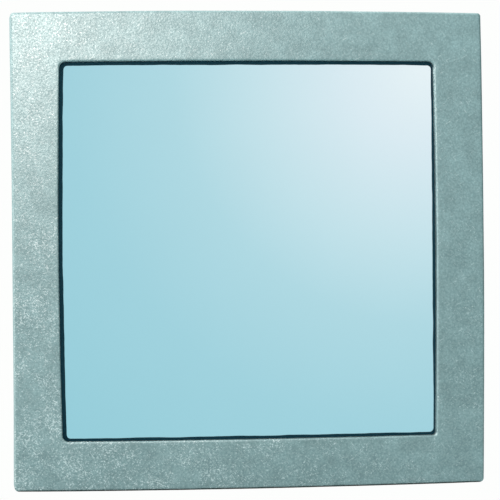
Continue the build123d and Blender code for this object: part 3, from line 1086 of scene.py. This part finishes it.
# The card that the pane reflects, where its glow is brightest, and how far that reaches, in metres
CARD_MIDDLE, CARD_SIZE = (0.418, -3.2, -0.044), 1.1
CARD_BRIGHTEST, CARD_REACH = (0.749, -3.2, 0.287), 0.935
CARD_GLOW = (
    (0.0, "#a6d8e2"),
    (0.29, "#b2dde6"),
    (0.5, "#c2e4eb"),
    (0.645, "#d7edf2"),
    (0.85, "#f1f7fb"),
    (1.0, "#ffffff"),
)

FLOOR_MIDDLE, FLOOR_RADIUS = (0.0, -0.65, -0.35), 2.0
KEY_PLACE, KEY_AIM, KEY_SIZE = (-0.15, -0.45, 0.21), (-0.12, -0.022, 0.12), (0.16, 0.08)

# The camera: its direction from the face's middle in degrees, and how far off it stands, in metres
AZIMUTH, ELEVATION, ROLL = -7.53, 0.746, -0.487
DISTANCE, ASIDE, ABOVE = 1.7477, 0.037 * MM, 0.119 * MM
LENS, SENSOR = 199.185, 36.0


def studio_world():
    """Soft light from all round, a little brighter from above and the left, on plain white."""
    world = bpy.data.worlds.new("studio")
    bpy.context.scene.world = world
    world.use_nodes = True
    tree = world.node_tree
    tree.nodes.clear()
    direction = add_node(tree, "TexCoord").outputs["Generated"]
    slope = add_node(tree, "VectorMath", {0: direction, 1: (-0.7, 0.0, 0.7)}, operation="DOT_PRODUCT")
    share = add_node(
        tree, "MapRange", {"Value": slope.outputs["Value"], "From Min": -1.0, "From Max": 1.0}
    )
    level = add_node(
        tree,
        "ValToRGB",
        {"Fac": share},
        stops=[
            (position, [strength * value for value in linear(tint)]) for position, strength, tint in SKY
        ],
    )
    light = add_node(tree, "Background", {"Color": level, "Strength": 1.0})
    plain = add_node(tree, "Background", {"Color": linear("#fdfefd"), "Strength": 1.0})
    seen = add_node(tree, "LightPath").outputs["Is Camera Ray"]
    mix = add_node(tree, "MixShader", {0: seen, 1: light, 2: plain})
    add_node(tree, "OutputWorld", {"Surface": mix})


def only_reflected(bm, name):
    """A card of the stage, which is seen in reflections and nowhere else."""
    card = link_piece(to_mesh(bm, name), name)
    card.visible_camera = False
    card.visible_diffuse = False
    card.visible_shadow = False
    return card


def reflected_card():
    """A softly lit card behind the viewer, which the pane shows: pale blue, white at one corner."""
    bm = bmesh.new()
    ops.create_grid(bm, x_segments=1, y_segments=1, size=CARD_SIZE / 2)
    rotate(bm, bm.verts, -math.pi / 2, "X")
    ops.translate(bm, vec=CARD_MIDDLE, verts=bm.verts)
    card = only_reflected(bm, "reflected_card")

    material = bpy.data.materials.new("lit_card")
    material.use_nodes = True
    tree = material.node_tree
    tree.nodes.clear()
    place = add_node(tree, "TexCoord").outputs["Object"]
    away = add_node(tree, "VectorMath", {0: place, 1: CARD_BRIGHTEST}, operation="DISTANCE")
    reach = add_node(
        tree, "MapRange", {"Value": away.outputs["Value"], "From Min": CARD_REACH, "From Max": 0.0}
    )
    blend = add_node(
        tree,
        "ValToRGB",
        {"Fac": reach},
        stops=[(position, linear(colour)) for position, colour in CARD_GLOW],
    )
    glow = add_node(tree, "Emission", {"Color": blend, "Strength": 1.0})
    add_node(tree, "OutputMaterial", {"Surface": glow})
    card.data.materials.append(material)
    return card


def black_flag():
    """A black card that only the metal's lower edge reflects."""
    bm = bmesh.new()
    box(bm, *FLAG)
    flag = only_reflected(bm, "black_flag")
    felt = new_material("black_felt", Base_Color=linear("#050505"), Roughness=1.0)[0]
    flag.data.materials.append(felt)
    return flag


def camera_place():
    """The camera's matrix, from the direction and distance that it looks at the frame's face."""
    azimuth, elevation, roll = [math.radians(angle) for angle in (AZIMUTH, ELEVATION, ROLL)]
    back = Vector(
        (
            math.sin(azimuth) * math.cos(elevation),
            -math.cos(azimuth) * math.cos(elevation),
            math.sin(elevation),
        )
    )
    right = Vector((math.cos(azimuth), math.sin(azimuth), 0.0))
    up = back.cross(right)
    level_right = right * math.cos(roll) + up * math.sin(roll)
    level_up = -right * math.sin(roll) + up * math.cos(roll)
    middle = Vector((0.0, -FACE * MM, 0.0))
    place = middle + back * DISTANCE + level_right * ASIDE + level_up * ABOVE
    matrix = Matrix((level_right, level_up, back)).transposed().to_4x4()
    matrix.translation = place
    return matrix


class WALL_MIRROR_OT_stage(bpy.types.Operator):
    """Build the floor, the lights, the card that the pane reflects, and the camera"""

    bl_idname = "wall_mirror.stage"
    bl_label = "Studio Stage"

    def execute(self, context):
        scene = context.scene
        bm = bmesh.new()
        ops.create_circle(bm, cap_ends=True, segments=64, radius=FLOOR_RADIUS)
        ops.translate(bm, vec=FLOOR_MIDDLE, verts=bm.verts)
        mesh = bpy.data.meshes.new("floor")
        bm.to_mesh(mesh)
        bm.free()
        floor = link_piece(mesh, "floor")
        # The mirror and the metal see the paper darker than the camera does, like the sky low down
        paper, tree, bsdf = new_material("matt_paper", Roughness=0.9)
        mirrored = add_node(tree, "LightPath").outputs["Is Glossy Ray"]
        pale = tuple(scene.mirror_colours.floor)
        tone = add_node(tree, "Mix", {0: mirrored, 6: pale, 7: linear("#b0bfc1")}, data_type="RGBA")
        link_inputs(tree, bsdf, {"Base Color": tone.outputs[2]})
        mesh.materials.append(paper)
        card = reflected_card()
        black_flag()
        studio_world()

        lamp = bpy.data.lights.new("key", "AREA")
        lamp.shape, lamp.size, lamp.size_y = "RECTANGLE", *KEY_SIZE
        lamp.energy = 0.58
        lamp.color = (1.0, 0.84, 0.79)
        key = bpy.data.objects.new("key", lamp)
        key.visible_camera = False
        key.location = KEY_PLACE
        aim = Vector(KEY_AIM) - key.location
        key.rotation_euler = aim.to_track_quat("-Z", "Y").to_euler()
        scene.collection.objects.link(key)

        lens = bpy.data.cameras.new("camera")
        lens.lens, lens.sensor_width = LENS, SENSOR
        camera = bpy.data.objects.new("camera", lens)
        camera.matrix_world = camera_place()
        scene.collection.objects.link(camera)
        scene.camera = camera
        scene.view_settings.view_transform = "Standard"
        return {"FINISHED"}


# ---- Panel and registration ----


class WALL_MIRROR_PT_panel(bpy.types.Panel):
    """Lists the pieces of the mirror and the sizes and colours that shape them"""

    bl_label = "Wall Mirror"
    bl_idname = "WALL_MIRROR_PT_panel"
    bl_space_type = "VIEW_3D"
    bl_region_type = "UI"
    bl_category = "Wall Mirror"

    def draw(self, context):
        layout = self.layout
        for group in (context.scene.mirror_sizes, context.scene.mirror_colours):
            for name in group.__annotations__:
                layout.prop(group, name)
        for operator in OPERATORS:
            layout.operator(operator.bl_idname)


OPERATORS = (
    WALL_MIRROR_OT_frame,
    WALL_MIRROR_OT_pane,
    WALL_MIRROR_OT_gasket,
    WALL_MIRROR_OT_backing,
    WALL_MIRROR_OT_buttons,
    WALL_MIRROR_OT_screws,
    WALL_MIRROR_OT_hangers,
    WALL_MIRROR_OT_bumpers,
    WALL_MIRROR_OT_stage,
)
CLASSES = (MirrorSizes, MirrorColours, *OPERATORS, WALL_MIRROR_PT_panel)


def register():
    """Make the classes known and hang the settings on the scene."""
    for item in CLASSES:
        bpy.utils.register_class(item)
    bpy.types.Scene.mirror_sizes = PointerProperty(type=MirrorSizes)
    bpy.types.Scene.mirror_colours = PointerProperty(type=MirrorColours)


def unregister():
    """Take everything back that register made."""
    del bpy.types.Scene.mirror_colours
    del bpy.types.Scene.mirror_sizes
    for item in reversed(CLASSES):
        bpy.utils.unregister_class(item)


def main():
    """Build every piece and the stage."""
    register()
    for operator in OPERATORS:
        group, name = operator.bl_idname.split(".")
        getattr(getattr(bpy.ops, group), name)()


if __name__ == "__main__":
    main()
